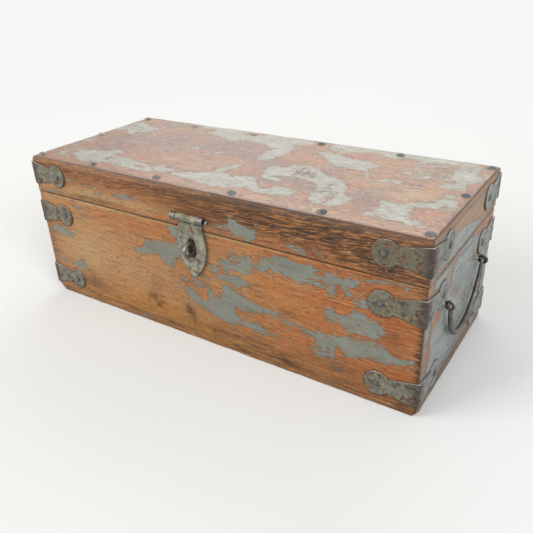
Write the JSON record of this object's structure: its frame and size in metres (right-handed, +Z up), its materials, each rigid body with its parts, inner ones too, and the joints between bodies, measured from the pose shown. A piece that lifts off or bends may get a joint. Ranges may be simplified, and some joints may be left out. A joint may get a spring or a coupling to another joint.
{
  "type": "wooden chest",
  "caption": "Small wooden box with a hinged lid, corner straps, a hasp over a lock staple and a bail handle on each end.",
  "frame": {"origin": "middle of the underside, on the surface that the chest stands on", "axes": "+X along the chest to the end on the right of the picture, -Y out of the front with the hasp, +Z up"},
  "size_m": [0.44, 0.1948, 0.1575],
  "materials": {
    "body_wood": "reclaimed softwood, orange-brown, with torn grey-green paint, satin",
    "lid_wood": "reclaimed wood, brown, with worn grey-green paint, waxed",
    "painted_iron": "thin grey-green paint over iron, rubbed and rusted",
    "worn_steel": "bare steel, worn bright",
    "hinge_iron": "dark iron, rusted",
    "nail_iron": "dark iron, rubbed on the heads",
    "dark_iron": "dark forged iron, worn bright on the edges"
  },
  "bodies": {
    "chest": {"bottom_board": "body_wood", "front_board": "body_wood", "back_board": "body_wood", "left_end_board": "body_wood", "right_end_board": "body_wood", "lower_strap_front_left": "painted_iron", "lower_strap_back_left": "painted_iron", "lower_strap_front_right": "painted_iron", "lower_strap_back_right": "painted_iron", "upper_strap_front_left": "painted_iron", "upper_strap_back_left": "painted_iron", "upper_strap_front_right": "painted_iron", "upper_strap_back_right": "painted_iron", "bottom_nail_front_1": "nail_iron", "bottom_nail_front_2": "nail_iron", "bottom_nail_front_3": "nail_iron", "bottom_nail_back_1": "nail_iron", "bottom_nail_back_2": "nail_iron", "bottom_nail_back_3": "nail_iron", "hinge_body_leaf_left": "hinge_iron", "hinge_body_leaf_right": "hinge_iron", "hinge_pin_left": "hinge_iron", "hinge_pin_right": "hinge_iron", "lock_staple": "dark_iron", "left_eye_front": "dark_iron", "left_eye_back": "dark_iron", "right_eye_front": "dark_iron", "right_eye_back": "dark_iron"},
    "lid": {"lid_top_board": "lid_wood", "lid_front_rail": "lid_wood", "lid_back_rail": "lid_wood", "lid_left_rail": "lid_wood", "lid_right_rail": "lid_wood", "lid_strap_front_left": "painted_iron", "lid_strap_back_left": "painted_iron", "lid_strap_front_right": "painted_iron", "lid_strap_back_right": "painted_iron", "lid_nail_front_1": "nail_iron", "lid_nail_front_2": "nail_iron", "lid_nail_front_3": "nail_iron", "lid_nail_front_4": "nail_iron", "lid_nail_front_5": "nail_iron", "lid_nail_front_6": "nail_iron", "lid_nail_back_1": "nail_iron", "lid_nail_back_2": "nail_iron", "lid_nail_back_3": "nail_iron", "lid_nail_back_4": "nail_iron", "lid_nail_back_5": "nail_iron", "lid_nail_back_6": "nail_iron", "lid_nail_left": "nail_iron", "lid_nail_right": "nail_iron", "hinge_lid_leaf_left": "hinge_iron", "hinge_lid_leaf_right": "hinge_iron", "hasp_pin": "worn_steel", "hasp_eye_left": "worn_steel", "hasp_eye_right": "worn_steel"},
    "hasp": {"hasp_plate": "painted_iron"},
    "right_handle": {"right_bail": "dark_iron"},
    "left_handle": {"left_bail": "dark_iron"}
  },
  "joints": [
    {"name": "lid_hinge", "type": "hinge", "parent": "chest", "child": "lid", "pos_m": [0, 0.0903, 0.11785], "axis": [-1, 0, 0], "range_deg": [0, 180]},
    {"name": "hasp_swing", "type": "hinge", "parent": "lid", "child": "hasp", "pos_m": [-0.004, -0.0917, 0.1295], "axis": [-1, 0, 0], "range_deg": [0, 192]},
    {"name": "right_handle_swing", "type": "hinge", "parent": "chest", "child": "right_handle", "pos_m": [0.2153, 0, 0.0835], "axis": [0, -1, 0], "range_deg": [-2, 182]},
    {"name": "left_handle_swing", "type": "hinge", "parent": "chest", "child": "left_handle", "pos_m": [-0.2153, 0, 0.0835], "axis": [0, 1, 0], "range_deg": [-2, 182]}
  ]
}
